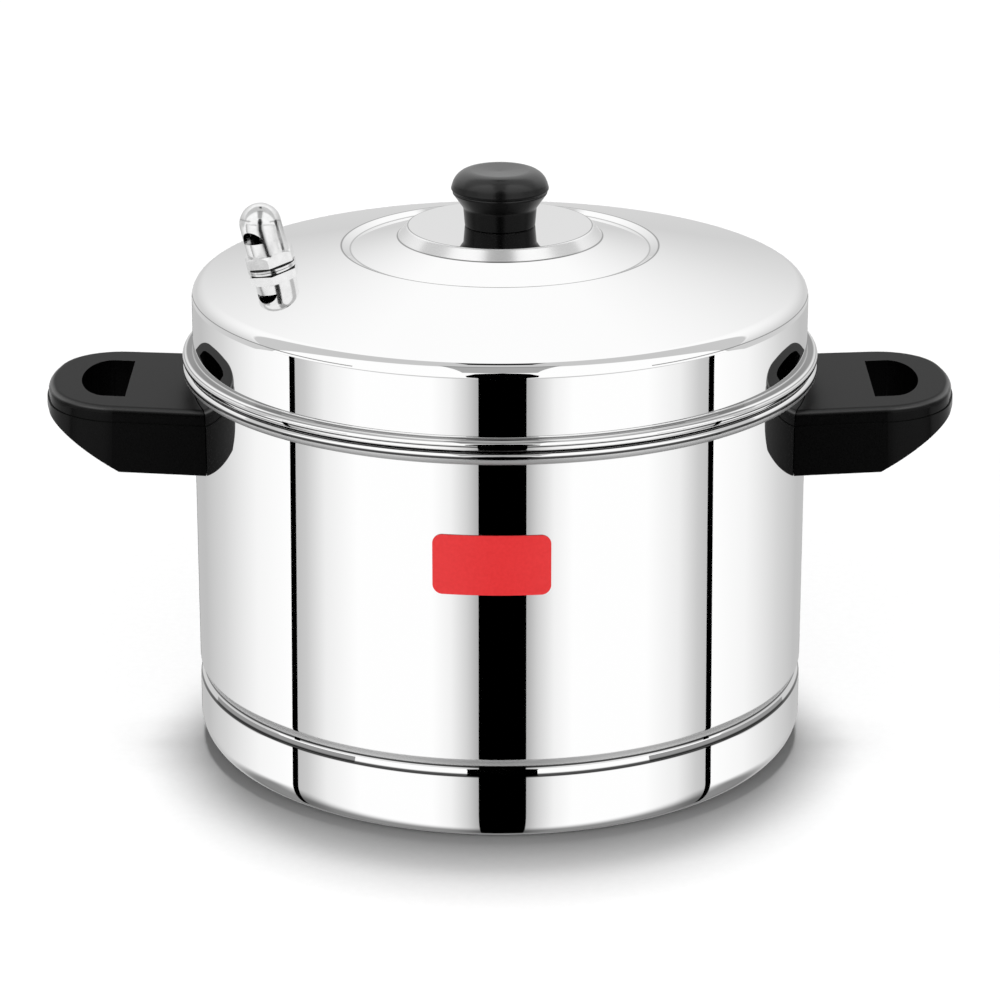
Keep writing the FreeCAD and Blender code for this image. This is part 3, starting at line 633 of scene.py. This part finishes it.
# Straight down and back under the pot, metal mirrors the shade that the pot stands in
downward = add_node(tree, "ShaderNodeMapRange", {
    "Value": apart.outputs["Z"], "From Min": -0.5, "From Max": -0.65}, interpolation_type="SMOOTHSTEP")
under = add_node(tree, "ShaderNodeMapRange", {
    "Value": apart.outputs["Y"], "From Min": -0.15, "From Max": 0.35, "To Max": 0.75},
    interpolation_type="SMOOTHSTEP")
shade = add_node(tree, "ShaderNodeMath", {0: downward.outputs[0], 1: under.outputs[0]}, operation="MULTIPLY")
unshaded = add_node(tree, "ShaderNodeMath", {0: 1.0, 1: shade.outputs[0]}, operation="SUBTRACT")
lit_share = add_node(tree, "ShaderNodeMath", {0: past_gap.outputs[0], 1: unshaded.outputs[0]},
                     operation="MULTIPLY")

# Plain light: a low screen in front of the pot and a little from all round; seen directly, it is white
screen_strength = 1.3
room_strength = 0.12
panel_strength = 1.12
path_kind = add_node(tree, "ShaderNodeLightPath")
in_front = add_node(tree, "ShaderNodeMapRange", {"Value": ahead.outputs[0], "From Min": 0.1, "From Max": 0.6})
low_down = add_node(tree, "ShaderNodeMapRange", {
    "Value": apart.outputs["Z"], "From Min": 0.4, "From Max": 0.65, "To Min": screen_strength, "To Max": 0.0})
screen = add_node(tree, "ShaderNodeMath", {0: in_front.outputs[0], 1: low_down.outputs[0], 2: room_strength},
                  operation="MULTIPLY_ADD")
plain_level = add_node(tree, "ShaderNodeMix", {
    "Factor": path_kind.outputs["Is Camera Ray"], 2: screen.outputs[0], 3: 1.0})
plain = add_node(tree, "ShaderNodeBackground", {
    "Color": linear("FFFFFF"), "Strength": plain_level.outputs[0]})
direct = add_node(tree, "ShaderNodeMath", {0: path_kind.outputs["Diffuse Depth"], 1: 0.5},
                  operation="LESS_THAN")
lit_direct = add_node(tree, "ShaderNodeMath", {0: direct.outputs[0], 1: lit_share.outputs[0]},
                      operation="MULTIPLY")
panel_level = add_node(tree, "ShaderNodeMath", {0: lit_direct.outputs[0], 1: panel_strength},
                       operation="MULTIPLY")
panel_light = add_node(tree, "ShaderNodeBackground", {
    "Color": barred.outputs[2], "Strength": panel_level.outputs[0]})
either = add_node(tree, "ShaderNodeMixShader", {
    0: path_kind.outputs["Is Glossy Ray"], 1: plain.outputs[0], 2: panel_light.outputs[0]})
add_node(tree, "ShaderNodeOutputWorld", {"Surface": either.outputs[0]})

# Camera: far off and a little above the pot, as in the photograph
camera_distance = 1.5217
camera_lift = math.radians(18.998)
aim_height = 0.09215
lens = bpy.data.cameras.new("camera")
lens.lens = 143.92
lens.sensor_width = 36
camera = bpy.data.objects.new("camera", lens)
camera.location = (0, -camera_distance * math.cos(camera_lift),
                   aim_height + camera_distance * math.sin(camera_lift))
camera.rotation_euler = (math.pi / 2 - camera_lift, 0, 0)
scene.collection.objects.link(camera)
scene.camera = camera
